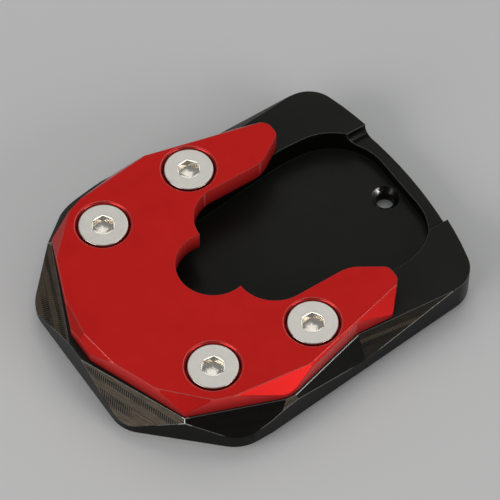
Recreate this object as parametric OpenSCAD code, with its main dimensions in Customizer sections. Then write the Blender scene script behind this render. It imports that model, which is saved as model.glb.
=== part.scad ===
// Side stand foot enlarger: a black base plate with a pocket for the stand's foot,
// a red plate that clamps the foot down, and four low head screws.
// The outlines are drawn with y = 0 at the front screws and the open end at +y,
// and the whole is then moved so that the origin lies under its middle.

/* [Base plate] */
// Width across the widest part
base_w = 66; // [65:0.5:76]
// Length from the front wall to the middle of the rear edge
base_len = 79.5; // [77:0.5:100]
// Thickness from the sole to the upper face
base_h = 8.6; // [7.4:0.1:14]
// Distance from the front wall back to the front screws
nose_len = 19; // [18.4:0.2:26]
// Width of the flat stretch of the front wall
nose_w = 33; // [26:0.5:36]
// Width of the stretch of the front wall between the two front facets
nose_facet_gap = 3; // [1:0.5:16]
// Width across the side walls at the rear corners
rear_w = 57; // [54:0.2:62]
// Distance from the front screws forward to where the slanted front walls reach the full width
flank_lead = 1.8; // [0:0.1:4]
// Distance from the front screws back to where the sides start to draw in
waist_lead = 5; // [3:0.5:12]
// Radius of the curved rear edge
rear_edge_r = 95; // [80:1:300]
// Radius of the rounded front corners
nose_r = 7; // [2:0.5:9]
// Radius of the rounded flanks
flank_r = 8; // [3:0.5:10]
// Radius where the flanks turn into the tapering sides
waist_r = 6; // [1:0.5:10]
// Radius of the rounded rear corners
rear_corner_r = 6.5; // [2:0.5:8]
// Height of the bevel round the sole
sole_bevel_h = 2; // [0.5:0.1:3]
// Width of the bevel round the sole
sole_bevel_w = 1.4; // [0.5:0.1:3]

/* [Foot pocket] */
// Thickness of the pocket's floor
floor_t = 3.3; // [2:0.1:4.5]
// Width of the pocket at its widest, near the arm tips
pocket_w = 37; // [30:0.2:38]
// Width of the pocket between the front screws
pocket_front_w = 28; // [22:0.5:31]
// Distance from the front screws back to where the pocket is widest
pocket_wide_y = 41; // [30:0.5:43]
// Distance from the front screws back to the pocket's front wall
pocket_front_y = 2.5; // [0:0.5:5]
// Amount that each side of the pocket draws in from its widest place to the rear corner
pocket_draw = 0.8; // [0:0.1:3]
// Radius of the pocket's front corners
pocket_front_r = 9; // [4:0.5:12]
// Radius of the slight bend in the pocket's sides
pocket_side_r = 20; // [5:1:40]
// Radius of the pocket's rear corners
pocket_rear_r = 12; // [6:0.5:14]
// Width of the low rim behind the pocket
rim_w = 2.6; // [2:0.1:5]
// Width of the low rim between its steps
rim_gap_w = 28.6; // [20:0.2:32]
// Depth of the low rim below the upper face
rim_drop = 2.7; // [1:0.1:3.5]
// Radius of the fillet at the foot of each step
rim_fillet_r = 2.2; // [0.5:0.1:2.6]
// Diameter of the drain hole
drain_d = 3.7; // [3:0.1:6]
// Distance from the rear edge to the middle of the drain hole
drain_back = 6; // [5:0.1:12]
// Width of the bevel round the drain hole
drain_bevel = 1.1; // [0.2:0.1:1.4]

/* [Clamp plate] */
// Thickness of the plate
plate_t = 4.3; // [3.8:0.1:8]
// Width of the slot between the arms
slot_w = 30.4; // [24:0.2:32]
// Distance from the front screws back to the bottom of the slot
slot_y = 14.6; // [12:0.2:18]
// Radius of the slot's bottom corners
slot_r = 8; // [4:0.5:10]
// Diameter of the round notch in the bottom of the slot
notch_d = 14.9; // [10:0.1:18]
// Distance from the front screws back to the middle of the round notch
notch_y = 13; // [11:0.1:15]
// Distance from the front screws back to where the slot opens out
slot_open_y = 34.6; // [30:0.2:37]
// Radius where the slot opens out
slot_open_r = 7; // [2:0.5:10]
// Distance from the front screws back to the arm tips
arm_y = 41.2; // [39:0.2:45]
// Width between the inner ends of the arm tips
arm_inner_w = 39; // [36:0.2:41]
// Width across the outer ends of the arm tips
arm_outer_w = 45.2; // [44:0.2:48]
// Radius of the rounded arm tips
arm_tip_r = 2; // [0.5:0.1:2.2]
// Width across the shoulders, the plate's widest part
shoulder_w = 63.4; // [60:0.2:64]
// Distance from the front screws back to the shoulders
shoulder_y = 10; // [6:0.5:14]
// Radius of the rounded shoulders
shoulder_r = 6.5; // [1:0.5:8]
// Width across the roots of the arms
arm_root_w = 53.6; // [52:0.2:58]
// Distance from the front screws back to the roots of the arms
arm_root_y = 28.8; // [27:0.2:32]
// Radius of the hollow at the roots of the arms
arm_root_r = 2; // [0.5:0.1:4]
// Width across the outer corners of the arms
arm_corner_w = 54.8; // [52:0.2:56]
// Distance from the arm tips forward to the arms' outer corners
arm_corner_lead = 4.4; // [2:0.2:6]
// Radius of the arms' outer corners
arm_corner_r = 1.2; // [0.3:0.1:2]
// Width across the plate's front corners
front_w = 48.6; // [47:0.2:52]
// Distance from the front screws forward to the plate's front corners
front_y = 9.4; // [8:0.2:12]
// Radius of the plate's front corners
front_r = 0.8; // [0.2:0.1:2]
// Width of the plate's narrow front end
tip_w = 7; // [4:0.5:14]
// Gap left between the plate's front end and the base's front wall
tip_gap = 1.4; // [0.5:0.1:3]

/* [Facets] */
// Ledge of the base that shows beside the plate
ledge = 0.25; // [0:0.05:1.5]
// Slant of the front facets of the base, in degrees below level
nose_slant = 46; // [30:1:60]
// Slant of the flank facets of the base
flank_slant = 38; // [30:1:60]
// Slant of the side facets of the base beside the plate
side_slant = 44; // [30:1:60]
// Slant of the small facets of the base below the plate's rounded shoulders
corner_facet_slant = 46; // [38:1:60]
// Slant of the rear side facets of the base
rear_slant = 41; // [30:1:60]
// Width across the upper edges of the rear side facets near the rear corners
rear_facet_w = 57.4; // [56:0.2:60]
// Distance from the front screws back to where that width is measured
rear_facet_y = 50; // [46:0.5:54]
// Slant of the large facets on the plate's shoulders
shoulder_slant = 54; // [35:1:60]
// Distance from a shoulder in to the fold of its facet
shoulder_fold = 2.7; // [1:0.1:3]
// Direction of that fold, in degrees from straight across
shoulder_turn = 83.1; // [80:0.1:88]
// Slant of the narrow facets beside the rear screws
waist_slant = 79; // [60:1:85]
// Distance from the plate's edge in to the fold of the narrow facets
waist_fold = 0.45; // [0.1:0.05:0.5]
// Slant of the facets on the arms
arm_slant = 52; // [35:1:60]
// Distance from an arm's outer corner in to the fold of its facet
arm_fold = 2.7; // [1:0.1:3]
// Direction of that fold, in degrees from straight across
arm_turn = 103.6; // [100:0.1:106]
// Slant of the facets on the plate's front corners
corner_slant = 51; // [35:1:58]
// Distance from a front corner in to the fold of its facet
corner_fold = 2.5; // [1:0.1:2.6]
// Direction of that fold, in degrees from straight across
corner_turn = 43.4; // [40:0.1:47]
// Slant of the facets at the plate's front end
tip_slant = 55; // [35:1:70]
// Distance from the plate's front end in to the folds of its facets
tip_fold = 0.9; // [0.3:0.1:2]
// Direction of those folds, in degrees from straight across
tip_turn = 7.8; // [4:0.1:12]

/* [Screws] */
// Distance between the two front screws
front_pitch = 39.7; // [38:0.1:42]
// Distance between the two rear screws
rear_pitch = 44.1; // [43:0.1:46]
// Distance from the front screws back to the rear screws
row_pitch = 21.5; // [19:0.1:24]
// Nominal thread diameter
thread_d = 6; // [4:0.5:6]
// Length of the screw under its head
screw_len = 8; // [5:0.5:8.5]
// Diameter of the screw head
head_d = 10; // [8:0.1:10.4]
// Height of the screw head
head_h = 2.7; // [2:0.1:3]
// Bevel round the top of the screw head
head_bevel = 0.2; // [0.1:0.1:0.6]
// Width of the hexagon socket across its flats
socket_w = 4; // [2.5:0.5:5]
// Depth of the hexagon socket
socket_depth = 2; // [1:0.1:2.4]

/* [Fits] */
// Gap round a screw head in its counterbore
head_gap = 0.4; // [0.2:0.05:1]
// Depth of the screw heads below the plate's upper face
head_sink = 0.1; // [0:0.05:0.5]
// Gap round a screw in the plate's hole
shank_gap = 0.25; // [0.1:0.05:0.5]
// Gap between a screw and the wall of its threaded hole
thread_gap = 0.04; // [0.02:0.01:0.08]
// Free depth left under the end of a screw
thread_run_out = 0.7; // [0.3:0.1:1]

/* [Hidden] */
$fn = 96;
// Overlap that keeps a cut from ending flush with a face
skin = 0.01;
// Size of a cutting block, longer than the part
reach = 100;
// Largest turn between two points of an arc, in degrees
arc_step = 6;
// Angle of the drill point in the bottom of a hexagon socket
socket_point = 120;
// Bevel round the mouth of each counterbore
bore_edge = 0.3;
// How far the socket of each screw is turned, in degrees
turn_front_left = 30;
turn_front_right = 23;
turn_rear_left = 36;
turn_rear_right = 32;
front_wall = -nose_len;
rear_wall = base_len - nose_len;
middle_y = (front_wall + rear_wall) / 2;
top_z = base_h + plate_t;
head_top = top_z - head_sink;
seat_z = head_top - head_h;
screw_end = seat_z - screw_len;
tap_end = screw_end - thread_run_out;
tap_d = thread_d + 2 * thread_gap;
bore_d = head_d + 2 * head_gap;
rim_z = base_h - rim_drop;
pocket_rear = rear_wall - rim_w;
drain_y = rear_wall - drain_back;
plate_front = front_wall + tip_gap;

// Corners of the plate's right side, named once for the plate and for the facets of the base.
tip_corner = [tip_w / 2, plate_front];
front_corner = [front_w / 2, -front_y];
shoulder = [shoulder_w / 2, shoulder_y];
arm_root = [arm_root_w / 2, arm_root_y];
arm_corner = [arm_corner_w / 2, arm_y - arm_corner_lead];
rear_facet_end = [rear_facet_w / 2, rear_facet_y];
nose_facet_end = [nose_facet_gap / 2, front_wall];

// Direction of the plate's edge in the middle of a rounded shoulder, and how far the rounding
// draws that edge back from the corner
shoulder_in = way(front_corner, shoulder);
shoulder_out = way(shoulder, arm_root);
shoulder_way = atan2(shoulder_in[1] + shoulder_out[1], shoulder_in[0] + shoulder_out[0]);
shoulder_back = shoulder_r / cos(acos(shoulder_in * shoulder_out) / 2) - shoulder_r;

// Screw places, left and right of the middle
screw_front = [front_pitch / 2, 0];
screw_rear = [rear_pitch / 2, row_pitch];

// Unit vector from a to b
function way(a, b) = (b - a) / norm(b - a);

// Arc that replaces the corner at p between its neighbours a and b, with radius r
function corner_arc(a, p, b, r) =
    let (u = way(p, a), v = way(p, b), half = acos(u * v) / 2, back = r / tan(half))
    let (c = p + way([0, 0], u + v) * r / sin(half))
    let (s = p + u * back - c, e = p + v * back - c)
    let (t0 = atan2(s[1], s[0]), turn = atan2(s[0] * e[1] - s[1] * e[0], s * e))
    let (n = max(2, ceil(abs(turn) / arc_step)))
    [for (i = [0:n]) c + r * [cos(t0 + turn * i / n), sin(t0 + turn * i / n)]];

// Outline from corners written as [point, radius], where radius 0 keeps the corner sharp
function rounded(list) = [for (i = [0:len(list) - 1])
    let (a = list[(i + len(list) - 1) % len(list)], p = list[i], b = list[(i + 1) % len(list)])
    each p[1] > 0 ? corner_arc(a[0], p[0], b[0], p[1]) : [p[0]]];

// Corners of the right half followed by the same corners on the left
function both_sides(half) = concat(half,
    [for (i = [len(half) - 1:-1:0]) if (half[i][0][0] > 0) [[-half[i][0][0], half[i][0][1]], half[i][1]]]);

// Corners moved inwards so that every side lies the given distance further in
function drawn_in(list, d) = [for (i = [0:len(list) - 1])
    let (a = list[(i + len(list) - 1) % len(list)][0], p = list[i][0], b = list[(i + 1) % len(list)][0])
    let (u = way(p, a), v = way(p, b))
    [p + way([0, 0], u + v) * d / sin(acos(u * v) / 2), list[i][1]]];

// Place of the curved rear edge at a distance x from the middle
function rear_edge(x) = rear_wall - rear_edge_r + sqrt(rear_edge_r * rear_edge_r - x * x);

// Outline of the base plate, drawn in by the given amount
function base_outline(inset) =
    let (curve_w = rear_w / 2 - 1.2 * rear_corner_r, steps = 6)
    let (half = concat([[[nose_w / 2, front_wall], nose_r],
        [[base_w / 2, -flank_lead], flank_r], [[base_w / 2, waist_lead], waist_r],
        [[rear_w / 2, rear_edge(rear_w / 2)], rear_corner_r]],
        [for (i = [steps:-1:0]) let (x = curve_w * i / steps) [[x, rear_edge(x)], 0]]))
    rounded(drawn_in(both_sides(half), inset));

// Outline of the foot pocket
function pocket_outline() =
    rounded(both_sides([[[pocket_front_w / 2, pocket_front_y], pocket_front_r],
        [[pocket_w / 2, pocket_wide_y], pocket_side_r],
        [[pocket_w / 2 - pocket_draw, pocket_rear], pocket_rear_r]]));

// Outline of the clamp plate, outside and along its slot
function plate_outline() =
    rounded(both_sides([[tip_corner, 0], [front_corner, front_r], [shoulder, shoulder_r],
        [arm_root, arm_root_r], [arm_corner, arm_corner_r], [[arm_outer_w / 2, arm_y], arm_tip_r],
        [[arm_inner_w / 2, arm_y], arm_tip_r], [[slot_w / 2, slot_open_y], slot_open_r],
        [[slot_w / 2, slot_y], slot_r]]));

// Everything above a plane that passes through a and b at height z and falls away on the right
// hand when walking from a to b. The plane starts to fall a distance out beside that line.
module above_plane(a, b, z, slant, out = 0) {
    translate([a[0], a[1], z])
        rotate([0, 0, atan2(b[1] - a[1], b[0] - a[0])])
            translate([0, -out, 0])
                rotate([slant, 0, 0])
                    translate([-reach, -reach, 0])
                        cube([2 * reach, 2 * reach, reach]);
}

// The same plane for a corner p, with its fold turned by an angle and a distance in from p
module above_fold(p, turn, z, slant, fold) {
    above_plane(p, p + [cos(turn), sin(turn)], z, slant, -fold);
}

// The same cut on both sides of the middle
module both() {
    children();
    mirror([1, 0, 0]) children();
}

// Puts a copy at each screw place
module at_screws() {
    for (place = [screw_front, screw_rear])
        both() translate([place[0], place[1], 0]) children();
}

// Blunt drill point below height z
module drill_point(d, z, angle) {
    translate([0, 0, z - d / 2 / tan(angle / 2)])
        cylinder(h = d / 2 / tan(angle / 2), d1 = 0, d2 = d);
}

module base_block() {
    hull() {
        linear_extrude(skin) polygon(base_outline(sole_bevel_w));
        translate([0, 0, sole_bevel_h])
            linear_extrude(base_h - sole_bevel_h) polygon(base_outline(0));
    }
}

// Facets along the front, the flanks and the sides of the base
module base_facets() {
    above_plane(nose_facet_end, front_corner, base_h, nose_slant, ledge);
    above_plane(front_corner, shoulder, base_h, flank_slant, ledge);
    above_fold(shoulder, shoulder_way, base_h, corner_facet_slant, shoulder_back - ledge);
    intersection() {
        above_plane(shoulder, arm_root, base_h, side_slant, ledge);
        above_plane(arm_root, rear_facet_end, base_h, rear_slant, ledge);
    }
}

module foot_pocket() {
    translate([0, 0, floor_t])
        linear_extrude(base_h) polygon(pocket_outline());
}

// Opening over the low rim, with a fillet at the foot of each step
module rim_gap() {
    half = rim_gap_w / 2;
    translate([0, rear_wall + 1, rim_z])
        rotate([90, 0, 0])
            linear_extrude(rim_w + 6)
                polygon(rounded([[[-half, 0], rim_fillet_r], [[half, 0], rim_fillet_r],
                    [[half, base_h], 0], [[-half, base_h], 0]]));
}

module drain_hole() {
    translate([0, drain_y, -skin])
        cylinder(h = floor_t + 2 * skin, d = drain_d);
    translate([0, drain_y, floor_t - drain_bevel])
        cylinder(h = drain_bevel + skin, d1 = drain_d, d2 = drain_d + 2 * (drain_bevel + skin));
}

module base_plate() {
    color("#1b1b19")
        translate([0, -middle_y, 0])
            difference() {
                base_block();
                both() base_facets();
                foot_pocket();
                rim_gap();
                drain_hole();
                at_screws() translate([0, 0, tap_end]) cylinder(h = reach, d = tap_d);
            }
}

// Facets along the upper edge of the clamp plate
module plate_facets() {
    above_fold([0, plate_front], tip_turn, plate_t, tip_slant, tip_fold);
    above_fold(front_corner, corner_turn, plate_t, corner_slant, corner_fold);
    above_fold(shoulder, shoulder_turn, plate_t, shoulder_slant, shoulder_fold);
    intersection() {
        above_plane(shoulder, arm_root, plate_t, waist_slant, -waist_fold);
        above_fold(arm_corner, arm_turn, plate_t, arm_slant, arm_fold);
    }
}

// Hole for a screw, with a counterbore for its head
module screw_hole() {
    translate([0, 0, -1])
        cylinder(h = plate_t + 2, d = thread_d + 2 * shank_gap);
    translate([0, 0, seat_z - base_h])
        cylinder(h = plate_t, d = bore_d);
    translate([0, 0, plate_t - bore_edge])
        cylinder(h = bore_edge + skin, d1 = bore_d, d2 = bore_d + 2 * (bore_edge + skin));
}

module clamp_plate() {
    color("#c01218")
        translate([0, -middle_y, base_h])
            difference() {
                linear_extrude(plate_t) polygon(plate_outline());
                translate([0, notch_y, -1]) cylinder(h = plate_t + 2, d = notch_d);
                both() plate_facets();
                at_screws() screw_hole();
            }
}

// Low head screw with a hexagon socket, its seat at height 0
module screw_body(turn) {
    difference() {
        union() {
            cylinder(h = head_h - head_bevel, d = head_d);
            translate([0, 0, head_h - head_bevel])
                cylinder(h = head_bevel, d1 = head_d, d2 = head_d - 2 * head_bevel);
            translate([0, 0, -screw_len]) cylinder(h = screw_len + skin, d = thread_d);
        }
        rotate([0, 0, turn])
            translate([0, 0, head_h - socket_depth])
                cylinder(h = socket_depth + skin, d = socket_w / cos(30), $fn = 6);
        drill_point(socket_w - 2 * skin, head_h - socket_depth + skin, socket_point);
    }
}

module screw(place, side, turn) {
    color("#dcd9cf")
        translate([side * place[0], place[1] - middle_y, seat_z])
            screw_body(turn);
}

module screw_front_left() { screw(screw_front, -1, turn_front_left); }
module screw_front_right() { screw(screw_front, 1, turn_front_right); }
module screw_rear_left() { screw(screw_rear, -1, turn_rear_left); }
module screw_rear_right() { screw(screw_rear, 1, turn_rear_right); }

base_plate();
clamp_plate();
screw_front_left();
screw_front_right();
screw_rear_left();
screw_rear_right();
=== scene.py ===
# %% [markdown]
# # A clamp-on foot for a motorbike's side stand
#
# The object is two milled aluminium plates and four screws. The black base plate has a pocket
# for the foot of the stand, the red plate lies over that foot, and the screws pull the two
# together. The plates could be modelled again here, but the packed model already has them at
# their real size, so the lesson starts from it. It gives the plates the finishes of the real
# part, makes the screws in fine detail, and lights the whole.

# %% The packed model
import math

import bpy
import numpy as np
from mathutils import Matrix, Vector


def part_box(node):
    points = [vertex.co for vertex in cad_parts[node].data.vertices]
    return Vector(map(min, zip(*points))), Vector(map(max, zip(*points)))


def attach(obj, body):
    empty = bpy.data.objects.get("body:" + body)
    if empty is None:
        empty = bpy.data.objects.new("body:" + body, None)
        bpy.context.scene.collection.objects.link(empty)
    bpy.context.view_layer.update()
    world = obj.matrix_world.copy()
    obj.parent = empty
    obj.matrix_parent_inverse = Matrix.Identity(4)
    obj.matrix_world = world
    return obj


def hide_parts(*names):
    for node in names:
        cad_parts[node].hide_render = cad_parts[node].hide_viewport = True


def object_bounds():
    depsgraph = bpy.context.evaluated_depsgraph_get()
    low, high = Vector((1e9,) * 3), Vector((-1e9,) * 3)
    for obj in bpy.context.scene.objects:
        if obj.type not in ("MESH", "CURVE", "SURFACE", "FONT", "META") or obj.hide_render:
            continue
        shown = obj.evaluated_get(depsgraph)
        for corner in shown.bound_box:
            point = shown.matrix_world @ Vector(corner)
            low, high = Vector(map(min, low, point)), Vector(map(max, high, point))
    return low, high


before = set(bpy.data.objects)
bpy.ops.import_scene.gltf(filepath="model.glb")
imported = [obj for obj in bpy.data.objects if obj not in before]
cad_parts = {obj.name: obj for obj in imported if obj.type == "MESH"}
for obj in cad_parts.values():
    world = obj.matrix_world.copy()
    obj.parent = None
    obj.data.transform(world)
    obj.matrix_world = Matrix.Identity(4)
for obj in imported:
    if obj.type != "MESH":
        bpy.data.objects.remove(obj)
cad_low, cad_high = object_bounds()
MM = 0.001


def size_in_mm(low, high):
    """Width, length and height between two corners: each difference over a millimetre."""
    return [round((end - start) / MM, 2) for start, end in zip(low, high)]


print("CAD size in mm:", size_in_mm(cad_low, cad_high))

# %% [markdown]
# ## Camera
#
# The photograph was taken from 55 degrees above the ground with a long lens. A camera can be
# moved by hand until its view fits, but a few numbers say it exactly: the point it looks at,
# its direction, its distance and its lens. The direction is written as a turn and a rise,
# because those can be read and changed one at a time. The lens is written in pixels of a
# picture 500 wide, because that can be measured, and turned into millimetres.

# %% Camera
CAMERA_AIM = Vector((1.22, 0.03, 12.8)) * MM
CAMERA_TURN = math.radians(56.45)
CAMERA_RISE = math.radians(55.0)
CAMERA_DISTANCE = 555 * MM
SENSOR_WIDTH = 36.0
FOCAL_PIXELS = 2830.0
FRAME_PIXELS = 500.0


def direction(turn, rise):
    """Unit vector for a turn from -Y towards +X and a rise above the ground, in radians:
    (sin turn cos rise, -cos turn cos rise, sin rise)."""
    level = math.cos(rise)
    return Vector((math.sin(turn) * level, -math.cos(turn) * level, math.sin(rise)))


def look_along(thing, towards):
    """Turns a camera or lamp so that its -Z axis points along a direction, with +Y up."""
    thing.rotation_euler = towards.to_track_quat("-Z", "Y").to_euler()


camera = bpy.data.objects.new("camera", bpy.data.cameras.new("camera"))
bpy.context.scene.collection.objects.link(camera)
camera.data.sensor_width = SENSOR_WIDTH
camera.data.lens = SENSOR_WIDTH * FOCAL_PIXELS / FRAME_PIXELS
camera.location = CAMERA_AIM + CAMERA_DISTANCE * direction(CAMERA_TURN, CAMERA_RISE)
look_along(camera, CAMERA_AIM - camera.location)
bpy.context.scene.camera = camera
print("focal length in mm:", round(camera.data.lens, 1))

# %% [markdown]
# ## A material, one node at a time
#
# Shader nodes can be clicked together in the editor or added by code. In code, most lines only
# make a node and join it to the one before. This helper does that: nearly every call adds a
# node and gives back its output, so that a material reads like a formula.


# %% Helper for nodes
class Nodes:
    """A new material with one Principled shader, and calls that add nodes in front of it."""

    def __init__(self, name):
        self.material = bpy.data.materials.new(name)
        self.material.use_nodes = True
        self.tree = self.material.node_tree
        self.shader = self.tree.nodes["Principled BSDF"]

    def put(self, socket, value):
        """Joins an output to a socket, or writes a plain value in it."""
        if isinstance(value, bpy.types.NodeSocket):
            self.tree.links.new(value, socket)
        else:
            socket.default_value = value

    def add(self, kind, *values, **settings):
        """Adds a node, fills its inputs in order and gives back the node."""
        node = self.tree.nodes.new("ShaderNode" + kind)
        for key, value in settings.items():
            setattr(node, key, value)
        for socket, value in zip(node.inputs, values):
            self.put(socket, value)
        return node

    def math(self, operation, *values):
        """Result of one operation of the Math node."""
        return self.add("Math", *values, operation=operation).outputs[0]

    def times(self, first, *others):
        """Product of two or more numbers."""
        for other in others:
            first = self.math("MULTIPLY", first, other)
        return first

    def finish(self, sockets):
        """Fills the Principled shader's sockets by name, and gives back the material."""
        for name, value in sockets.items():
            self.put(self.shader.inputs[name], value)
        return self.material


print("calls for nodes:", ", ".join(call for call in vars(Nodes) if call[0] != "_"))

# %% [markdown]
# Most questions in a finish are about places: how far along, how high, inside or outside. They
# could be answered with painted masks, but a mask made from coordinates is exact at any size.
# These calls measure in millimetres, as on a drawing, and turn a measure into a soft step.


# %% Helper for places
class Places(Nodes):
    """The calls for nodes, with places, directions and ranges added."""

    def place(self):
        """Position in the object's own frame, in millimetres."""
        scaled = self.add("VectorMath", self.add("TexCoord").outputs["Object"], operation="SCALE")
        scaled.inputs["Scale"].default_value = 1 / MM
        return scaled.outputs[0]

    def normal(self):
        """Direction that the flat face looks in, without any bump."""
        return self.add("NewGeometry").outputs["True Normal"]

    def along(self, vector, axis, start=0.0):
        """Distance along a direction: the dot product with it, minus a start."""
        dot = self.add("VectorMath", vector, tuple(axis), operation="DOT_PRODUCT")
        return self.math("SUBTRACT", dot.outputs["Value"], start)

    def distance(self, vector, point):
        """Distance from a point."""
        gap = self.add("VectorMath", vector, tuple(point), operation="DISTANCE")
        return gap.outputs["Value"]

    def above(self, value, start, soft):
        """0 below a start and 1 above it, with a smooth step from start - soft to start + soft."""
        return self.add("MapRange", value, start - soft, start + soft,
                        interpolation_type="SMOOTHSTEP").outputs[0]

    def below(self, value, end, soft):
        """1 below an end and 0 above it, with a smooth step from end - soft to end + soft."""
        return self.add("MapRange", value, end - soft, end + soft, 1.0, 0.0,
                        interpolation_type="SMOOTHSTEP").outputs[0]

    def between(self, value, start, end, soft):
        """1 between a start and an end, 0 outside: the product of the two steps."""
        return self.times(self.above(value, start, soft), self.below(value, end, soft))


print("calls for places:", ", ".join(call for call in vars(Places) if call[0] != "_"))

# %% [markdown]
# The rest of a finish is variation. An image of a real surface would have it all, but it shows
# its pixels close up and has seams. Waves and noise are formulas, which stay fine at any
# distance, so the finishes here are mixed from a few calls for them.


# %% Helper for patterns and mixes
class Recipe(Places):
    """The calls for places, with waves, noise, mixes and bump added."""

    def waves(self, value, pitch):
        """0.5 + 0.5 sin(2 pi value / pitch)."""
        angle = self.math("MULTIPLY", value, 2 * math.pi / pitch)
        return self.math("MULTIPLY_ADD", self.math("SINE", angle), 0.5, 0.5)

    def noise(self, vector, scale, detail=3.0, roughness=0.6):
        """Random values around 0.5, with features about 1 / scale millimetres across."""
        node = self.add("TexNoise", vector)
        node.inputs["Scale"].default_value = scale
        node.inputs["Detail"].default_value = detail
        node.inputs["Roughness"].default_value = roughness
        return node.outputs["Fac"]

    def clouds(self, vector, scale):
        """Noise with little fine detail."""
        return self.noise(vector, scale, detail=2.0, roughness=0.5)

    def mix(self, factor, low, high):
        """Number that goes from low to high as the factor goes from 0 to 1."""
        node = self.add("Mix", factor, data_type="FLOAT")
        self.put(node.inputs[2], low)
        self.put(node.inputs[3], high)
        return node.outputs[0]

    def tint(self, factor, low, high):
        """Colour that goes from low to high as the factor goes from 0 to 1."""
        node = self.add("Mix", factor, data_type="RGBA")
        self.put(node.inputs[6], low)
        self.put(node.inputs[7], high)
        return node.outputs[2]

    def bump(self, height, depth):
        """Shading as if the surface rose by height times a depth in millimetres."""
        node = self.add("Bump")
        node.inputs["Distance"].default_value = depth * MM
        self.put(node.inputs["Height"], height)
        return node.outputs[0]


def rgb(red, green, blue):
    """A colour in linear light, opaque."""
    return (red, green, blue, 1.0)


print("calls for patterns:", ", ".join(call for call in vars(Recipe) if call[0] != "_"))

# %% [markdown]
# ## Studio
#
# The part is shown on a plain pale floor, which brings out its shape. A plane of four corners
# would do, but its straight edges could show at the top of a picture, so this floor is a wide
# disc. It lies a hair below the part, so that the two faces don't fight for the same place.

# %% Floor
FLOOR_RADIUS = 4.0
FLOOR_SIDES = 96
FLOOR_GAP = 0.02 * MM
PAPER = rgb(0.84, 0.835, 0.82)


def disc(name, radius, sides):
    """A flat round floor: corners at radius times (cos a, sin a), one face."""
    angle = np.arange(sides) * 2 * math.pi / sides
    corners = np.stack([radius * np.cos(angle), radius * np.sin(angle), np.zeros(sides)], axis=1)
    mesh = bpy.data.meshes.new(name)
    mesh.from_pydata(corners.tolist(), [], [list(range(sides))])
    return bpy.data.objects.new(name, mesh)


floor = disc("studio_floor", FLOOR_RADIUS, FLOOR_SIDES)
bpy.context.scene.collection.objects.link(floor)
floor.location.z = cad_low[2] - FLOOR_GAP
pale_paper = Recipe("pale_paper").finish({"Base Color": PAPER, "Roughness": 0.75})
floor.data.materials.append(pale_paper)
print("floor radius in m:", FLOOR_RADIUS)

# %% [markdown]
# Soft light comes from large lamps: the larger a lamp looks from the object, the softer its
# shadow. Metal shows its lamps as reflections, so a light that is right for a cup is wrong for
# a milled plate. Each lamp here stands where one set of facets mirrors it to the camera: one
# for the front facets, one for the right side, and one for all the level faces. A pale world
# fills what the lamps leave dark.

# %% Lamps
LAMP_AIM = Vector((0, 0, 8)) * MM
LAMPS = {
    "front_lamp": dict(turn=4, rise=24, distance=0.9, width=0.70, height=0.50, watts=3.1),
    "side_lamp": dict(turn=110, rise=18, distance=0.9, width=0.50, height=0.34, watts=2.0),
    "top_lamp": dict(turn=227, rise=58, distance=1.2, width=0.9, height=0.9, watts=1.95),
}
WORLD_COLOUR = rgb(0.9, 0.92, 0.95)
WORLD_STRENGTH = 0.26


def soft_lamp(name, turn, rise, distance, width, height, watts):
    """A rectangular lamp at a distance in metres along a direction, facing the object."""
    lamp = bpy.data.objects.new(name, bpy.data.lights.new(name, "AREA"))
    bpy.context.scene.collection.objects.link(lamp)
    lamp.data.shape = "RECTANGLE"
    lamp.data.size = width
    lamp.data.size_y = height
    lamp.data.energy = watts
    lamp.location = LAMP_AIM + distance * direction(math.radians(turn), math.radians(rise))
    look_along(lamp, LAMP_AIM - lamp.location)


for lamp_name, lamp_values in LAMPS.items():
    soft_lamp(lamp_name, **lamp_values)

world = bpy.data.worlds.new("studio")
world.use_nodes = True
world.node_tree.nodes["Background"].inputs["Color"].default_value = WORLD_COLOUR
world.node_tree.nodes["Background"].inputs["Strength"].default_value = WORLD_STRENGTH
bpy.context.scene.world = world
bpy.context.scene.view_settings.view_transform = "Standard"
print("lamps:", ", ".join(LAMPS))

# %% [markdown]
# ## Reading the facets from the packed model
#
# The milling marks of a facet run along its upper edge, so a material needs to know where each
# facet lies. Its plane could be typed in again by hand, but then a change of the part would
# leave the marks behind. Here it is measured, and the first step is to get at the triangles.

# %% Triangles
SHORTEST_CROSS = 1e-12


def triangles(node):
    """Corners of a packed node's triangles in millimetres, with their unit normals and areas.
    The cross product of two sides points along the normal and is twice the area long."""
    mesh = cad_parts[node].data
    mesh.calc_loop_triangles()
    corners = np.empty(len(mesh.vertices) * 3)
    mesh.vertices.foreach_get("co", corners)
    index = np.empty(len(mesh.loop_triangles) * 3, dtype=np.int32)
    mesh.loop_triangles.foreach_get("vertices", index)
    points = corners.reshape(-1, 3)[index.reshape(-1, 3)] / MM
    cross = np.cross(points[:, 1] - points[:, 0], points[:, 2] - points[:, 0])
    length = np.linalg.norm(cross, axis=1)
    return points, cross / np.maximum(length, SHORTEST_CROSS)[:, None], length / 2


print("triangles of the base plate:", len(triangles("base_plate")[0]))

# %% [markdown]
# On the real plate the cutter kept to one plane for each facet, so a facet is flat. Its
# triangles could be picked by number, but the numbers change with the part. A flat face is easy
# to find without them: of all triangles that face roughly the right way, those in the plane of
# the largest one belong to it, and their mean normal is exact. The rough directions are a turn
# and a rise, as for the camera.

# %% Facets
FACET_SPREAD = math.radians(2.5)
PLANE_GAP = 0.2
ROUGH_FACINGS = {
    "nose": (23, 44),
    "flank": (69, 52),
    "corner": (87, 44),
    "side": (104.5, 46),
    "rear": (85, 49),
}


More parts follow.
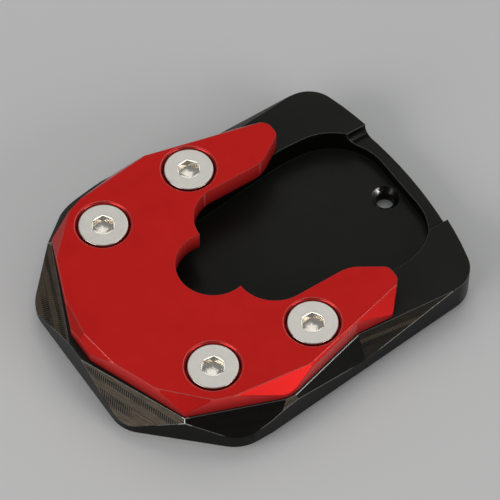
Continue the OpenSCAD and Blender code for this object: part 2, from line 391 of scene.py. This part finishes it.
def measure_facet(node, turn, rise):
    """The facet of a node that faces a turn and a rise in degrees. Its frame is the normal, the
    direction along its upper edge (up cross normal, made level) and the direction down it."""
    points, normals, areas = triangles(node)
    towards = np.array(direction(math.radians(turn), math.radians(rise)))
    mine = normals @ towards > math.cos(FACET_SPREAD)
    largest = np.argmax(areas * mine)
    off_plane = (points.mean(axis=1) - points[largest, 0]) @ normals[largest]
    mine &= abs(off_plane) < PLANE_GAP
    normal = (normals[mine] * areas[mine, None]).sum(axis=0)
    normal /= np.linalg.norm(normal)
    along = np.cross([0, 0, 1], normal)
    along /= np.linalg.norm(along)
    down = np.cross(along, normal)
    down *= -np.sign(down[2])
    outward = np.array([normal[0], normal[1], 0]) / math.hypot(normal[0], normal[1])
    corners = points[mine].reshape(-1, 3)
    return {
        "normal": normal,
        "along": along,
        "down": down,
        "outward": outward,
        "start": (corners @ along).min(),
        "top": (corners @ down).min(),
        "reach": (corners @ outward).max(),
        "tip": corners[np.argmax(corners @ along)],
        "area": areas[mine].sum(),
    }


BASE_FACETS = {name: measure_facet("base_plate", *facing) for name, facing in ROUGH_FACINGS.items()}
WAIST_FACET = measure_facet("clamp_plate", 105, 0)
for facet_name, facet in {**BASE_FACETS, "waist": WAIST_FACET}.items():
    print(facet_name, "facet:", round(facet["area"], 1), "mm2, normal", facet["normal"].round(3))

# %% [markdown]
# The drain hole lets rain out of the pocket. Its bevel was cut after the plate was dyed, so part
# of it is bare metal. The bare part could be a separate ring of its own, but a mask on the
# plate's own surface can't stand proud of it. The bevel is found as the facets were: it faces up
# at 45 degrees, near the middle of the plate and behind the origin.

# %% Bevel of the drain hole
BEVEL_UPWARD = math.sqrt(0.5)
BEVEL_SPREAD = 0.05
DRAIN_REACH = 5.0


def measure_drain_bevel(node):
    """Middle and outer radius of the bevel round the drain hole, in millimetres: the middle and
    half the width of the box round its triangles."""
    points, normals, _ = triangles(node)
    middles = points.mean(axis=1)
    mine = abs(normals[:, 2] - BEVEL_UPWARD) < BEVEL_SPREAD
    mine &= (abs(middles[:, 0]) < DRAIN_REACH) & (middles[:, 1] > 0)
    corners = points[mine].reshape(-1, 3)
    low, high = corners.min(axis=0), corners.max(axis=0)
    return (low + high) / 2, (high[0] - low[0]) / 2


DRAIN_MIDDLE, DRAIN_RADIUS = measure_drain_bevel("base_plate")
print("drain hole at", DRAIN_MIDDLE.round(2), "with a bevel of radius", round(DRAIN_RADIUS, 2))

# %% [markdown]
# ## Black anodised aluminium
#
# Anodising grows a thin clear oxide on aluminium and dyes it. The dye hides the metal, so the
# black plate is nearly black with a soft gloss. The milled facets show a cutter's work: fine
# lines along the facet, and rows of short strokes where one pass of a ball cutter meets the
# next. Those could be cut in the mesh, but they are less than a tenth of a millimetre deep, so
# the shader draws them as tone and height. The first cell makes the lines: noise drawn out
# along the facet, and a fine wave across it.

# %% Lines of the cutter
LINE_PITCH = 0.22
LINE_TILT = 0.045
LINE_CONTRAST = 0.3
STREAK_STRETCH = 0.07
STREAK_SCALE = 4.5
STREAK_CONTRAST = 1.7
MIDDLE_TONE = 0.55


def cutter_lines(recipe, across, down):
    """Tone of the lines along a facet: the middle tone, plus streaks and waves that go evenly
    above and below it."""
    drawn_out = recipe.add("CombineXYZ", recipe.math("MULTIPLY", across, STREAK_STRETCH), down)
    streaks = recipe.noise(drawn_out.outputs[0], STREAK_SCALE, roughness=0.65)
    streaks = recipe.math("SUBTRACT", streaks, 0.5)
    tone = recipe.math("MULTIPLY_ADD", streaks, STREAK_CONTRAST, MIDDLE_TONE)
    lines = recipe.math("SUBTRACT", recipe.waves(down, LINE_PITCH), 0.5)
    return recipe.math("MULTIPLY_ADD", lines, LINE_CONTRAST, tone)


print("lines per mm:", round(1 / LINE_PITCH, 1))

# %% [markdown]
# The strokes stand in rows, like the teeth of a comb, and lean a little. A row could be made of
# many small meshes, but as a formula it is one wave along the facet, cut off above and below
# the row and where the row ends. Noise makes the strokes uneven, as the real ones are.

# %% Strokes of the cutter
STROKE_PITCH = 0.50
STROKE_LEAN = 0.35
STROKE_SOFT = 0.2
UNEVEN_SCALE = 1.3
UNEVEN_RANGE = 1.6
UNEVEN_LOW = 0.2
ROW_END_SOFT = 2.5
BRIGHTEST = 2.6


def cutter_strokes(recipe, across, down, half_place, rows, tone):
    """Adds rows of strokes to a tone. Each row is (distance below the upper edge, width,
    strength, reach along the facet), and a negative strength makes dark strokes."""
    leaning = recipe.math("MULTIPLY_ADD", down, -STROKE_LEAN, across)
    strokes = recipe.above(recipe.waves(leaning, STROKE_PITCH), 0.5, STROKE_SOFT)
    uneven = recipe.noise(half_place, UNEVEN_SCALE)
    uneven = recipe.math("MULTIPLY_ADD", uneven, UNEVEN_RANGE, UNEVEN_LOW)
    for distance, width, strength, reach in rows:
        band = recipe.between(down, distance - width / 2, distance + width / 2, width / 5)
        band = recipe.times(band, recipe.below(across, reach, ROW_END_SOFT), uneven, strokes)
        tone = recipe.math("MULTIPLY_ADD", band, strength, tone)
    return tone


def milled(recipe, facet, half_place, rows):
    """Tone of a milled facet, from 0, where no metal shows, to the brightest: its lines and its
    rows of strokes, which both run down a little from the direction of its upper edge."""
    across = recipe.along(half_place, facet["along"], facet["start"])
    straight_down = recipe.along(half_place, facet["down"], facet["top"])
    down = recipe.math("MULTIPLY_ADD", across, -LINE_TILT, straight_down)
    tone = cutter_lines(recipe, across, down)
    tone = cutter_strokes(recipe, across, down, half_place, rows, tone)
    return recipe.math("MAXIMUM", recipe.math("MINIMUM", tone, BRIGHTEST), 0.0)


print("strokes per cm:", round(10 / STROKE_PITCH))

# %% [markdown]
# The part is the same on its left and right, and so are its marks. Both halves could get their
# own masks, but it is simpler to fold the space: with x made positive, one pattern serves both
# sides. A facet's mask then asks whether the folded normal looks along the facet's own.

# %% Folding and masks
FACING = 0.9992
FACING_SOFT = 0.0004


def mirrored(recipe, vector):
    """The same vector with its x made positive."""
    parts = recipe.add("SeparateXYZ", vector).outputs
    folded = recipe.add("CombineXYZ", recipe.math("ABSOLUTE", parts[0]), parts[1], parts[2])
    return folded.outputs[0]


def facet_mask(recipe, facet, half_normal):
    """1 on the facet and its mirror image, 0 elsewhere: the dot product of the two normals."""
    return recipe.above(recipe.along(half_normal, facet["normal"]), FACING, FACING_SOFT)


print("a mask takes in normals within", round(math.degrees(math.acos(FACING)), 1), "degrees")

# %% [markdown]
# Now the facets go on the plate. One number, `bright`, says how much metal shows at each spot.
# Each facet could have a material of its own, but with one number the colour, the metallic
# value and the bump always agree. The nose facets and the small corner facets show the most
# metal, the rear ones have a row of bright strokes, and the rest are almost as black as the top.
# These tones are partly the milled metal and partly painted light and shade: facets that look
# brighter under the lamps get more, and the flank and side facets, which mirror the dark room,
# get almost none. Each row of strokes below is written as its distance from the upper edge,
# its width, its strength and how far along the facet it reaches, with lengths in millimetres.

# %% Milled facets of the base plate
# Partly painted light and shade: each facet's tone also follows how bright it looks under the
# lamps.
MILLED_TONE_AND_PAINTED_LIGHT = {"nose": 0.29, "flank": 0.015, "corner": 0.34, "side": 0.01, "rear": 0.075}
STROKE_ROWS = {
    "nose": [(0.9, 0.85, -2.2, 30), (2.9, 0.14, -1.6, 30), (3.9, 1.5, -1.6, 13)],
    "flank": [(2.6, 0.8, -0.4, 20)],
    "corner": [(0.8, 1.0, -0.5, 20)],
    "side": [(2.4, 0.8, -0.4, 20)],
    "rear": [(1.45, 0.6, 3.2, 13), (2.4, 0.9, -0.5, 9)],
}

black = Recipe("black_anodising")
place = black.place()
half_place = mirrored(black, place)
half_normal = mirrored(black, black.normal())
bright = 0.0
for facet_name, facet in BASE_FACETS.items():
    tone = milled(black, facet, half_place, STROKE_ROWS[facet_name])
    share = black.times(tone, facet_mask(black, facet, half_normal))
    bright = black.math("MULTIPLY_ADD", share, MILLED_TONE_AND_PAINTED_LIGHT[facet_name], bright)
print("rows of strokes:", sum(len(rows) for rows in STROKE_ROWS.values()))

# %% [markdown]
# Two spots on the base plate are bare metal. The bevel of the drain hole is bare on its side
# towards the camera's left: partly bare metal, partly a painted highlight where it glints. Right
# under the waist of the red plate, a bare strip of the side facet, less than half a millimetre
# wide, is a painted highlight: a bright line. Both could be painted by hand.
# Here each is a distance turned into a mask, so they stay in place if the part changes.

# %% Bare spots of the base plate
BEVEL_MARGIN = 0.15
BEVEL_SLOPES = (0.6, 0.8)
# Painted highlight, partly: the bare side of the drain's bevel points towards the camera's left,
# where it glints.
GLINT_SIDE = (-0.55, -0.83, 0.0)
GLINT_SCALE = 1.9
GLINT_RAGGED = 4.0
GLINT_START = 3.2
# Painted highlight: a bare strip under the waist draws a bright line.
HIGHLIGHT_STRIP_WIDTH = 0.38

from_drain = black.distance(place, DRAIN_MIDDLE)
near_drain = black.below(from_drain, DRAIN_RADIUS + BEVEL_MARGIN, soft=0.05)
half_upward = black.along(half_normal, (0, 0, 1))
sloping = black.between(half_upward, *BEVEL_SLOPES, soft=0.02)
side_of_drain = black.along(place, GLINT_SIDE, DRAIN_MIDDLE @ GLINT_SIDE)
ragged = black.noise(place, GLINT_SCALE, roughness=0.7)
ragged_edge = black.math("MULTIPLY_ADD", ragged, GLINT_RAGGED, side_of_drain)
glint_side_mask = black.above(ragged_edge, GLINT_START, soft=0.25)
bare_glint_bevel = black.times(near_drain, sloping, glint_side_mask)

from_waist = black.along(half_place, WAIST_FACET["outward"], WAIST_FACET["reach"])
under_waist = black.below(from_waist, HIGHLIGHT_STRIP_WIDTH, soft=0.04)
highlight_strip = black.times(under_waist, facet_mask(black, BASE_FACETS["side"], half_normal))
bare = black.math("MAXIMUM", bare_glint_bevel, highlight_strip)
print("nodes so far:", len(black.tree.nodes))

# %% [markdown]
# Last come the colours. The dye is a warm black, and one flat colour would nearly do, but faint
# clouds in it keep a large level face from looking painted. The upright walls get a darker
# colour than the level faces, which is painted shade. The gloss is weak and broad, because the
# surface was blasted before it was dyed and scatters the light.

# %% Black finish
BLACK_DEEP = rgb(0.0108, 0.0110, 0.0085)
BLACK_WORN = rgb(0.0175, 0.0178, 0.0140)
# Painted shade: the colour of the upright walls, darker than the level faces.
BLACK_WALL_SHADE = rgb(0.003, 0.003, 0.0025)
MILLED_METAL = rgb(0.42, 0.32, 0.215)
BARE_METAL = rgb(0.72, 0.70, 0.66)
BLACK_GRAIN_SCALE = 9.0
BLACK_CLOUD_SCALE = 0.12
LEVEL_START = 0.9
METAL_SHARE = 0.8
MARK_HEIGHT = 1.5

grain = black.noise(place, BLACK_GRAIN_SCALE)
level = black.above(half_upward, LEVEL_START, soft=0.05)
clouded = black.tint(black.clouds(place, BLACK_CLOUD_SCALE), BLACK_DEEP, BLACK_WORN)
# Painted shade: upright walls take the darker wall colour, level faces the clouded black.
base_colour = black.tint(level, BLACK_WALL_SHADE, clouded)
marks = black.math("MULTIPLY_ADD", bright, MARK_HEIGHT, grain)
black_metal = black.finish({
    "Base Color": black.tint(bare, black.tint(bright, base_colour, MILLED_METAL), BARE_METAL),
    "Metallic": black.math("MAXIMUM", black.times(bright, METAL_SHARE), bare),
    "Roughness": black.mix(grain, low=0.25, high=0.34),
    "Normal": black.bump(marks, depth=0.004),
    "Specular IOR Level": 0.09,
})
print(black_metal.name, "has", len(black.tree.nodes), "nodes")

# %% [markdown]
# ## Red anodised aluminium
#
# Red dye is thin enough to let the metal shine through, so this finish is a coloured metal: its
# highlights are red too. A plain red plastic with a clear coat would be simpler, but its
# highlights would be white. The slanted facets were cut after blasting, so they are a little
# smoother. The upright walls scatter light in all directions, so there the metallic value is
# low, and the wall shows its red even where it mirrors something dark. Facets and walls could
# be picked by hand, but a mask for each finds them by the upward part of their normal. The
# walls' colour is painted shade at their foot and painted light at their upper edge.

# %% Faces of the clamp plate
RED_DEEP = rgb(0.53, 0.0095, 0.0085)
RED_LIGHT = rgb(0.64, 0.014, 0.011)
# Painted shade at the foot of a wall, and painted light at its upper edge.
WALL_FOOT_SHADE = rgb(0.30, 0.006, 0.005)
WALL_TOP_LIGHT = rgb(0.78, 0.035, 0.032)
RED_CLOUD_SCALE = 0.15
SLANTED = (0.3, 0.985)
UPRIGHT = (-0.2, 0.2)

red = Recipe("red_anodising")
place = red.place()
upward = red.along(red.normal(), (0, 0, 1))
slanted = red.between(upward, *SLANTED, soft=0.01)
upright = red.between(upward, *UPRIGHT, soft=0.05)
plate_low, plate_high = (corner[2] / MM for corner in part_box("clamp_plate"))
height = red.along(place, (0, 0, 1))
up_the_wall = red.add("MapRange", height, plate_low, plate_high).outputs[0]
base_colour = red.tint(red.clouds(place, RED_CLOUD_SCALE), RED_DEEP, RED_LIGHT)
# Painted shade and light: upright walls go from the darker colour at the foot to the lighter one at
# the top.
base_colour = red.tint(upright, base_colour, red.tint(up_the_wall, WALL_FOOT_SHADE, WALL_TOP_LIGHT))
print("walls of the clamp plate from", round(plate_low, 2), "to", round(plate_high, 2), "mm")

# %% [markdown]
# The narrow walls of the plate's waist show where the side of the cutter touched them, as pale
# upright stripes that fade towards the foot. They could be grooves in the mesh, but they are
# far too fine, so they are stripes of colour and bump. A few narrow strips in the slot and in
# the counterbores face the same way as the waist, so they get the stripes too.

# %% Red finish
RED_STROKE = rgb(0.85, 0.22, 0.20)
RED_GRAIN_SCALE = 10.0
SLANTED_MARKS = 0.25
WAIST_MARKS = 1.6
SLANTED_SMOOTHER = 0.08

grain = red.noise(place, RED_GRAIN_SCALE)
waist = facet_mask(red, WAIST_FACET, mirrored(red, red.normal()))
stripes = red.waves(red.along(mirrored(red, place), WAIST_FACET["along"]), STROKE_PITCH)
mark_height = red.mix(waist, red.times(slanted, SLANTED_MARKS), WAIST_MARKS)
red_relief = red.math("ADD", grain, red.times(stripes, mark_height))
smoother = red.times(slanted, SLANTED_SMOOTHER)
red_metal = red.finish({
    "Base Color": red.tint(red.times(waist, stripes, up_the_wall), base_colour, RED_STROKE),
    "Metallic": red.mix(upright, low=0.74, high=0.15),
    "Specular IOR Level": 0.25,
    "Roughness": red.math("SUBTRACT", red.mix(grain, low=0.34, high=0.44), smoother),
    "Normal": red.bump(red_relief, depth=0.004),
})
print(red_metal.name, "has", len(red.tree.nodes), "nodes")

# %% [markdown]
# ## Edges
#
# No real edge is perfectly sharp: a deburring tool takes off a tenth of a millimetre, and
# anodising stays thin there, so edges catch the light as fine bright lines. The packed meshes
# have sharp edges. Those could be rounded in the CAD, with thousands of tiny faces, but a Bevel
# modifier cuts them on the fly and can give the new faces a material of their own. It needs
# joined triangles, so a Weld comes first, and then a planar Decimate, because the triangles
# inside each flat face would disturb the bevel.

# %% Broken edges
EDGE_WIDTH = 0.10 * MM
EDGE_SEGMENTS = 2
EDGE_ANGLE = math.radians(28)
FLAT_ANGLE = math.radians(0.3)
WELD_GAP = 0.001 * MM


def break_edges(plate, edge_material):
    """Adds Weld, planar Decimate and Bevel modifiers; the bevel's faces take the edge material."""
    plate.data.materials.append(edge_material)
    weld = plate.modifiers.new("join_triangles", "WELD")
    weld.merge_threshold = WELD_GAP
    flats = plate.modifiers.new("join_flats", "DECIMATE")
    flats.decimate_type = "DISSOLVE"
    flats.angle_limit = FLAT_ANGLE
    bevel = plate.modifiers.new("deburred", "BEVEL")
    bevel.width = EDGE_WIDTH
    bevel.segments = EDGE_SEGMENTS
    bevel.limit_method = "ANGLE"
    bevel.angle_limit = EDGE_ANGLE
    bevel.use_clamp_overlap = False
    bevel.material = len(plate.data.materials) - 1


print("width of an edge in mm:", round(EDGE_WIDTH / MM, 2))

# %% [markdown]
# An edge is the first place where a dye wears off. The whole edge could be bare, but then the
# part looks like a drawing with white outlines. The upper edges are touched most, so only
# those are worn, in spots that noise picks, and the lower ones keep their dye. The two outer
# tips of the nose, where its facets meet the flanks, are rubbed quite bare.

# %% Finish of an edge
WORN_EDGE_SCALE = 1.6
EDGE_GRAIN_SCALE = 12.0


def edge_metal(name, base_colour, bare, metallic, worn_from, wear, bare_spot=None, spot_radius=0.0):
    """Finish of a deburred edge: dyed metal, with worn spots above a height in millimetres. Where
    a bare spot is given, the edge is quite bare within a radius of it and its mirror image."""
    recipe = Recipe(name)
    place = recipe.place()
    upper = recipe.above(recipe.along(place, (0, 0, 1)), worn_from, soft=0.1)
    spots = recipe.noise(place, WORN_EDGE_SCALE, detail=4.0, roughness=0.7)
    worn = recipe.times(upper, wear, spots)
    if bare_spot is not None:
        from_spot = recipe.distance(mirrored(recipe, place), bare_spot)
        worn = recipe.math("MAXIMUM", worn, recipe.below(from_spot, spot_radius, soft=0.1))
    return recipe.finish({
        "Base Color": recipe.tint(worn, base_colour, bare),
        "Metallic": metallic,
        "Roughness": recipe.mix(worn, low=0.30, high=0.22),
        "Normal": recipe.bump(recipe.clouds(place, EDGE_GRAIN_SCALE), depth=0.006),
    })


print("spots of wear about", round(1 / WORN_EDGE_SCALE, 1), "mm across")

# %% [markdown]
# Each plate takes its finish, and its edges take a paler form of it. The edges could be painted
# on the plate itself, but the bevel's own faces keep a line of even width round every corner.
# The packed meshes stay as they are: a material goes in the slot that each already has, and the
# modifiers do the rest.

# %% Dressing the plates
RIM_LEVEL = 5.7
PLATE_LEVEL = plate_high - 0.4
NOSE_TIP = BASE_FACETS["nose"]["tip"]
NOSE_TIP_RADIUS = 1.4

black_edge = edge_metal("black_edges", base_colour=rgb(0.012, 0.012, 0.011), bare=rgb(0.50, 0.49, 0.46),
                        metallic=0.7, worn_from=RIM_LEVEL, wear=0.5,
                        bare_spot=NOSE_TIP, spot_radius=NOSE_TIP_RADIUS)
red_edge = edge_metal("red_edges", base_colour=rgb(0.58, 0.014, 0.012), bare=rgb(0.97, 0.25, 0.22),
                      metallic=0.85, worn_from=PLATE_LEVEL, wear=1.0)
PLATES = {"base_plate": (black_metal, black_edge), "clamp_plate": (red_metal, red_edge)}
for plate_name, (surface, edge) in PLATES.items():
    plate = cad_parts[plate_name]
    plate.data.materials[0] = surface
    break_edges(plate, edge)
    print(plate_name, "has", len(plate.modifiers), "modifiers")

# %% [markdown]
# ## Low head screws
#
# A screw is a profile spun round an axis, except for two things: the socket is a hexagon, and
# the thread is a helix. Blender's Screw modifier spins a profile but can't change it on the
# way. Here the whole screw is one grid: rings from the bottom of the socket, over the head and
# down to the tip, times angles round the axis. A ring's radius may depend on the angle, which
# makes the hexagon, and on the angle and the height together, which makes the thread.

# %% Hexagon and thread
SOCKET_WIDTH = 4.0
SOCKET_CORNER = SOCKET_WIDTH / 2 / math.cos(math.pi / 6)
THREAD_DIAMETER = 6.0
THREAD_PITCH = 1.0
THREAD_DEPTH = 0.55
THREAD_RUNOUT = 0.8
PLAIN_SHANK = 0.2
TIP_CHAMFER = 0.7


def hexagon_radius(angle):
    """Distance from the middle to the side of the socket's hexagon, with a corner at angle 0:
    half the width over the cosine of the angle from the flat's middle."""
    from_flat = np.mod(angle, math.pi / 3) - math.pi / 6
    return SOCKET_WIDTH / 2 / np.cos(from_flat)


def thread_depth(heights, angle, length):
    """Depth of the thread: a triangle wave of height / pitch - angle / turn, which is a helix,
    faded in below the head and out towards the tip."""
    turns = angle[None, :] / (2 * math.pi)
    phase = np.mod(heights[:, None] / THREAD_PITCH - turns, 1.0)
    wave = 1 - np.abs(2 * phase - 1)
    start = np.clip((-heights - PLAIN_SHANK) / THREAD_RUNOUT, 0, 1)
    end = np.clip((length + heights) / TIP_CHAMFER, 0, 1)
    return THREAD_DEPTH * wave * (start * end)[:, None]


print("socket across corners in mm:", round(2 * SOCKET_CORNER, 2))

# %% [markdown]
# The profile of the screw is a list of rings. A lathe turns the head, a punch forms the socket,
# and both leave small bevels, which catch the light. A few rings close together keep such a
# bevel crisp, where a Subdivision Surface would need extra loops for the same.

# %% Rings of a screw
HEAD_HEIGHT = 2.7
HEAD_ROUND = 0.20
HEAD_BEVEL = 0.12
SHANK_BEVEL = 0.1
SOCKET_DEPTH = 2.0
SOCKET_EDGE = 0.05
SOCKET_INSET = 0.1
SOCKET_STEP = 0.05
FACE_START = 0.3
FACE_RINGS = 6
ROUND_RINGS = 6
RINGS_PER_PITCH = 10


def rings(heights, radii, hexness):
    """Rows of (height, radius, hexagon share), one for each ring; a single value is repeated."""
    return np.column_stack(np.broadcast_arrays(heights, radii, hexness))


def screw_rings(head_radius, length):
    """Rings from the bottom of the socket over the head to the tip, in millimetres, with height
    0 at the seat. The head's edge is a quarter circle: radius R - b + b sin t, height
    H - b + b cos t."""
    shank = THREAD_DIAMETER / 2
    bottom = HEAD_HEIGHT - SOCKET_DEPTH
    mouth = HEAD_HEIGHT - SOCKET_EDGE
    turn = np.linspace(0, math.pi / 2, ROUND_RINGS + 1)[1:]
    count = int(length / THREAD_PITCH * RINGS_PER_PITCH)
    return np.vstack([
        rings([bottom, bottom + SOCKET_STEP, mouth - SOCKET_STEP, mouth, HEAD_HEIGHT],
              SOCKET_CORNER + np.array([-SOCKET_INSET, 0, 0, 0, SOCKET_EDGE]), 1),
        rings(HEAD_HEIGHT,
              np.linspace(SOCKET_CORNER + FACE_START, head_radius - HEAD_ROUND, FACE_RINGS), 0),
        rings(HEAD_HEIGHT - HEAD_ROUND + HEAD_ROUND * np.cos(turn),
              head_radius - HEAD_ROUND + HEAD_ROUND * np.sin(turn), 0),
        rings([HEAD_BEVEL, 0, 0, -SHANK_BEVEL],
              [head_radius, head_radius - HEAD_BEVEL, shank + SHANK_BEVEL, shank], 0),
        rings(np.linspace(-PLAIN_SHANK, -length + TIP_CHAMFER, count), shank, 0),
        rings(-length, shank - TIP_CHAMFER, 0),
    ])


print("rings on a screw of 8 mm:", len(screw_rings(head_radius=5.0, length=8.0)))

# %% [markdown]
# The rings become a mesh once each point knows its neighbours. Blender could skin them with its
# Bridge tool, but a grid needs no tool: ring and angle number each point, so the corners of
# every face follow by counting. One point at each end closes the surface.


# %% Faces of the grid
def grid_faces(ring_count, around):
    """Quads between neighbouring rings, and fans from the first and last ring to two poles.
    Point number = ring times points around, plus the step round the ring. The order turns
    every face outwards."""
    ring, step = np.meshgrid(np.arange(ring_count - 1), np.arange(around), indexing="ij")
    following = (step + 1) % around
    here, there = ring * around, (ring + 1) * around
    quads = np.stack([here + step, there + step, there + following, here + following], axis=-1)
    step = np.arange(around)
    following = (step + 1) % around
    last = (ring_count - 1) * around
    first_pole = np.full(around, ring_count * around)
    first_fan = np.stack([first_pole, step, following], axis=1)
    last_fan = np.stack([last + step, first_pole + 1, last + following], axis=1)
    return quads.reshape(-1, 4).tolist() + first_fan.tolist() + last_fan.tolist()


print("faces of three rings of four points:", len(grid_faces(3, 4)))

# %% [markdown]
# A detailed screw takes the place of a plain one from the packed model. Its place could be
# typed in, but it is read from the plain screw's box, so the two always agree. The pole in the
# socket lies deeper than the ring round it, so the floor is a shallow cone, as a drill leaves
# it. The mesh also carries each point's distance from the screw's axis, for the steel.

# %% A screw in its place
RING_ANGLES = 96
SOCKET_CONE = 0.6
SHARP_ANGLE = math.radians(32)


def screw_mesh(name, points, distances):
    """Mesh of a screw's points in millimetres, ring by ring and then the two poles, with the
    distance of each point from the axis. It is smooth, but sharp where it turns steeply."""
    mesh = bpy.data.meshes.new(name)
    ring_count = (len(points) - 2) // RING_ANGLES
    mesh.from_pydata((points * MM).tolist(), [], grid_faces(ring_count, RING_ANGLES))
    from_axis = mesh.attributes.new("from_axis", "FLOAT", "POINT")
    from_axis.data.foreach_set("value", distances.astype(np.float32))
    mesh.polygons.foreach_set("use_smooth", np.ones(len(mesh.polygons), dtype=bool))
    mesh.set_sharp_from_angle(angle=SHARP_ANGLE)
    mesh.update()
    return mesh


def make_screw(name, turn):
    """The screw of a CAD node, in its place, with its socket turned. Each point is the middle
    plus radius times (cos a, sin a), at the height of its ring above the seat."""
    low, high = (np.array(corner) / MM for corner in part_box(name))
    middle = (low + high) / 2
    seat = high[2] - HEAD_HEIGHT
    length = seat - low[2]
    heights, radii, hexness = screw_rings((high[0] - low[0]) / 2, length).T
    angle = np.arange(RING_ANGLES) * 2 * math.pi / RING_ANGLES
    six_sided = hexagon_radius(angle)[None, :] * (radii / SOCKET_CORNER)[:, None]
    radius = np.where(hexness[:, None] > 0, six_sided, radii[:, None])
    radius = radius - thread_depth(heights, angle, length)
    spin = angle + math.radians(turn)
    x = middle[0] + radius * np.cos(spin)
    y = middle[1] + radius * np.sin(spin)
    z = np.broadcast_to((seat + heights)[:, None], radius.shape)
    cone_tip = [middle[0], middle[1], high[2] - SOCKET_DEPTH - SOCKET_CONE]
    end = [middle[0], middle[1], low[2]]
    points = np.vstack([np.stack([x, y, z], axis=-1).reshape(-1, 3), cone_tip, end])
    mesh = screw_mesh(name + "_turned", points, np.append(radius.ravel(), [0.0, 0.0]))
    screw = bpy.data.objects.new(mesh.name, mesh)
    bpy.context.scene.collection.objects.link(screw)
    return screw


print("points round a screw:", RING_ANGLES)

# %% [markdown]
# ## Turned steel
#
# The heads are turned on a lathe and tumbled, so they are a pale satin with rings that are
# almost gone. The rings could come from a wave on the mesh's coordinates, but then each screw
# would need its own centre. They follow the distance from the screw's axis, which each mesh
# carries, so one material serves all four. The punched socket and the rounded rim are
# smoother than the face, and the socket is a little dented.

# %% Steel finish
HEAD_DARK = rgb(0.56, 0.54, 0.485)
HEAD_LIGHT = rgb(0.76, 0.73, 0.665)
SOCKET_STEEL = rgb(0.86, 0.81, 0.73)
STEEL_GRAIN_SCALE = 14.0
LATHE_SCALE = 4.0
PATCH_SCALE = 0.5
PATCH_SHARE = 0.6
DENT_SCALE = 1.3
DENT_HEIGHT = 10.0
SMOOTHER = 0.18
SOCKET_MARGIN = 0.36
head_low, head_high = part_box("screw_front_left")
RIM_START = (head_high[0] - head_low[0]) / MM / 2 - HEAD_ROUND

steel = Recipe("screw_steel")
place = steel.place()
grain = steel.noise(place, STEEL_GRAIN_SCALE)
from_axis = steel.add("Attribute", attribute_name="from_axis").outputs["Fac"]
lathe = steel.noise(steel.add("CombineXYZ", from_axis).outputs[0], LATHE_SCALE, roughness=0.5)
patches = steel.math("MULTIPLY_ADD", steel.clouds(place, PATCH_SCALE), PATCH_SHARE,
                     steel.times(lathe, PATCH_SHARE))
socket = steel.below(from_axis, SOCKET_WIDTH / 2 + SOCKET_MARGIN, soft=0.03)
smooth = steel.math("MAXIMUM", socket, steel.above(from_axis, RIM_START, soft=0.03))
dents = steel.times(socket, steel.noise(place, DENT_SCALE))
relief = steel.math("MULTIPLY_ADD", dents, DENT_HEIGHT, steel.math("ADD", grain, lathe))
smoother = steel.times(smooth, SMOOTHER)
screw_steel = steel.finish({
    "Base Color": steel.tint(socket, steel.tint(patches, HEAD_DARK, HEAD_LIGHT), SOCKET_STEEL),
    "Metallic": 1.0,
    "Roughness": steel.math("SUBTRACT", steel.mix(grain, low=0.32, high=0.40), smoother),
    "Normal": steel.bump(relief, depth=0.005),
})
print(screw_steel.name, "has", len(steel.tree.nodes), "nodes")

# %% [markdown]
# Four screws hold the plates together, and each socket stopped at its own angle when its screw
# was tightened. They could be four copies of one mesh, each turned and moved, but then all four
# would show the same patches in their steel. So each is made in its own place, with its own
# turn. It rides on the part's one body and hides the plain screw that it replaces.

# %% Four screws
SOCKET_TURNS = {
    "screw_front_left": 30,
    "screw_front_right": 23,
    "screw_rear_left": 36,
    "screw_rear_right": 32,
}
for node_name, turn in SOCKET_TURNS.items():
    screw = make_screw(node_name, turn)
    screw.data.materials.append(screw_steel)
    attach(screw, "root")
    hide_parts(node_name)
    print(screw.name, len(screw.data.polygons), "faces")

# %% [markdown]
# A finish adds no thickness here, and a rounded edge only takes material away.
